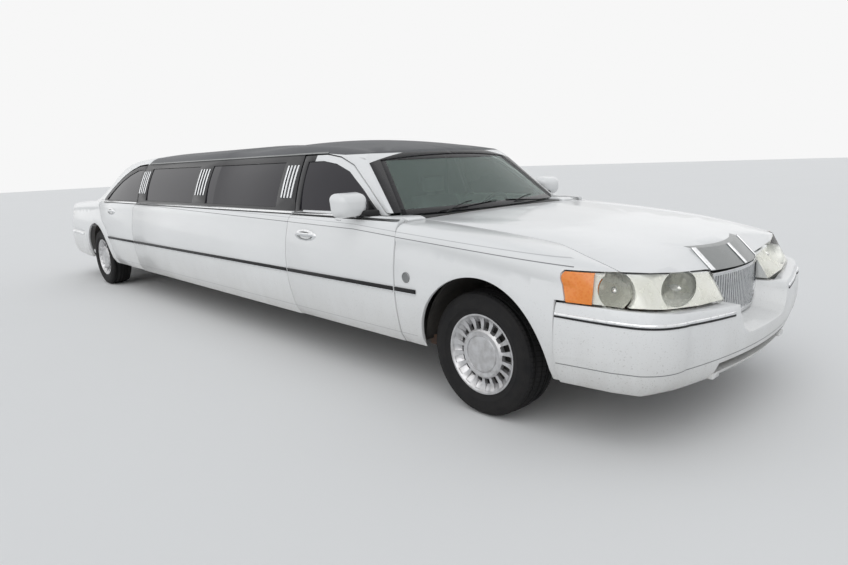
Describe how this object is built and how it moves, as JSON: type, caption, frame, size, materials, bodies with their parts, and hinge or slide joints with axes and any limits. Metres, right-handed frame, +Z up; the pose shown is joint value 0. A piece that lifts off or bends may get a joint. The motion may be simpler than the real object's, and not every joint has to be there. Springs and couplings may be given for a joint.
{
  "type": "stretch limousine",
  "caption": "Lengthened luxury sedan with a long window band between its doors, opening doors, hood and trunk lid, steered front wheels and four rolling wheels",
  "frame": {"origin": "middle of the length and width, on the ground", "axes": "+X forward along the car, +Y to its left, +Z up"},
  "size_m": [8.5158, 2.21, 1.511],
  "materials": {
    "paint": "gloss",
    "bumper": "gloss",
    "vinyl": "grained vinyl",
    "dark_glass": "dark tint",
    "clear_glass": "slight green tint",
    "lamp_clear": "clear lens",
    "lamp_red": "gloss lens",
    "chrome": "polished",
    "alloy": "satin",
    "tyre": "matte",
    "frame": "satin",
    "underbody": "matte",
    "engine": "matte",
    "tank": "satin",
    "exhaust": "dull",
    "black_plastic": "matte",
    "leather": "soft",
    "trim": "grained"
  },
  "bodies": {
    "body": {"stretch_panels": "paint", "stretch_windows": "dark_glass", "roof": "vinyl", "windscreen_frame": "paint", "windscreen": "clear_glass", "rear_window": "dark_glass", "rear_body": "paint", "tail_lamps": "lamp_red", "rear_bumper": "bumper", "front_fenders": "paint", "headlamps": "lamp_clear", "front_bumper": "bumper", "grille": "chrome", "floor_and_firewall": "underbody", "trunk_floor": "underbody", "door_posts": "underbody", "frame_rails": "frame", "engine_block": "engine", "radiator": "black_plastic", "fuel_tank": "tank", "exhaust": "exhaust", "front_suspension": "frame", "rear_axle": "frame", "driveshaft": "frame", "arch_liners": "black_plastic", "front_seats": "leather", "lounge_seats": "leather", "partition": "trim", "dashboard": "trim"},
    "hood": {"hood": "paint", "hood_header": "chrome"},
    "trunk_lid": {"trunk_lid": "paint"},
    "steering_wheel": {"steering_wheel": "trim"},
    "front_door_left": {"door_front_left": "paint", "door_glass_front_left": "dark_glass"},
    "rear_door_left": {"door_rear_left": "paint", "door_glass_rear_left": "dark_glass"},
    "steer_left": {"knuckle_left": "frame"},
    "wheel_front_left": {"tyre_front_left": "tyre", "rim_front_left": "alloy"},
    "wheel_rear_left": {"tyre_rear_left": "tyre", "rim_rear_left": "alloy"},
    "front_door_right": {"door_front_right": "paint", "door_glass_front_right": "dark_glass"},
    "rear_door_right": {"door_rear_right": "paint", "door_glass_rear_right": "dark_glass"},
    "steer_right": {"knuckle_right": "frame"},
    "wheel_front_right": {"tyre_front_right": "tyre", "rim_front_right": "alloy"},
    "wheel_rear_right": {"tyre_rear_right": "tyre", "rim_rear_right": "alloy"}
  },
  "joints": [
    {"name": "steer_left", "type": "hinge", "parent": "body", "child": "steer_left", "pos_m": [3.1885, 0.735, 0.332], "axis": [0, 0, 1], "range_deg": [-33, 33]},
    {"name": "wheel_spin_front_left", "type": "hinge", "parent": "steer_left", "child": "wheel_front_left", "pos_m": [3.1885, 0.805, 0.332], "axis": [0, 1, 0], "continuous": true},
    {"name": "wheel_spin_rear_left", "type": "hinge", "parent": "body", "child": "wheel_rear_left", "pos_m": [-2.8495, 0.8295, 0.332], "axis": [0, 1, 0], "continuous": true},
    {"name": "front_door_left_hinge", "type": "hinge", "parent": "body", "child": "front_door_left", "pos_m": [2.5575, 0.974, 0.7], "axis": [0, 0, -1], "range_deg": [0, 65]},
    {"name": "rear_door_left_hinge", "type": "hinge", "parent": "body", "child": "rear_door_left", "pos_m": [-1.6315, 0.974, 0.7], "axis": [0, 0, -1], "range_deg": [0, 65]},
    {"name": "steer_right", "type": "hinge", "parent": "body", "child": "steer_right", "pos_m": [3.1885, -0.735, 0.332], "axis": [0, 0, 1], "range_deg": [-33, 33]},
    {"name": "wheel_spin_front_right", "type": "hinge", "parent": "steer_right", "child": "wheel_front_right", "pos_m": [3.1885, -0.805, 0.332], "axis": [0, 1, 0], "continuous": true},
    {"name": "wheel_spin_rear_right", "type": "hinge", "parent": "body", "child": "wheel_rear_right", "pos_m": [-2.8495, -0.8295, 0.332], "axis": [0, 1, 0], "continuous": true},
    {"name": "front_door_right_hinge", "type": "hinge", "parent": "body", "child": "front_door_right", "pos_m": [2.5575, -0.974, 0.7], "axis": [0, 0, 1], "range_deg": [0, 65]},
    {"name": "rear_door_right_hinge", "type": "hinge", "parent": "body", "child": "rear_door_right", "pos_m": [-1.6315, -0.974, 0.7], "axis": [0, 0, 1], "range_deg": [0, 65]},
    {"name": "hood_hinge", "type": "hinge", "parent": "body", "child": "hood", "pos_m": [2.6255, 0, 0.985], "axis": [0, -1, 0], "range_deg": [0, 60]},
    {"name": "trunk_lid_hinge", "type": "hinge", "parent": "body", "child": "trunk_lid", "pos_m": [-3.4135, 0, 0.987], "axis": [0, 1, 0], "range_deg": [0, 75]},
    {"name": "steering_wheel_turn", "type": "hinge", "parent": "body", "child": "steering_wheel", "pos_m": [2.1885, 0.38, 0.89], "axis": [-0.9135, 0, 0.4067], "range_deg": [-540, 540]}
  ],
  "couplings": [
    {"joint": "steer_left", "follows": "steer_right", "ratio": 1},
    {"joint": "steering_wheel_turn", "follows": "steer_right", "ratio": 16}
  ]
}
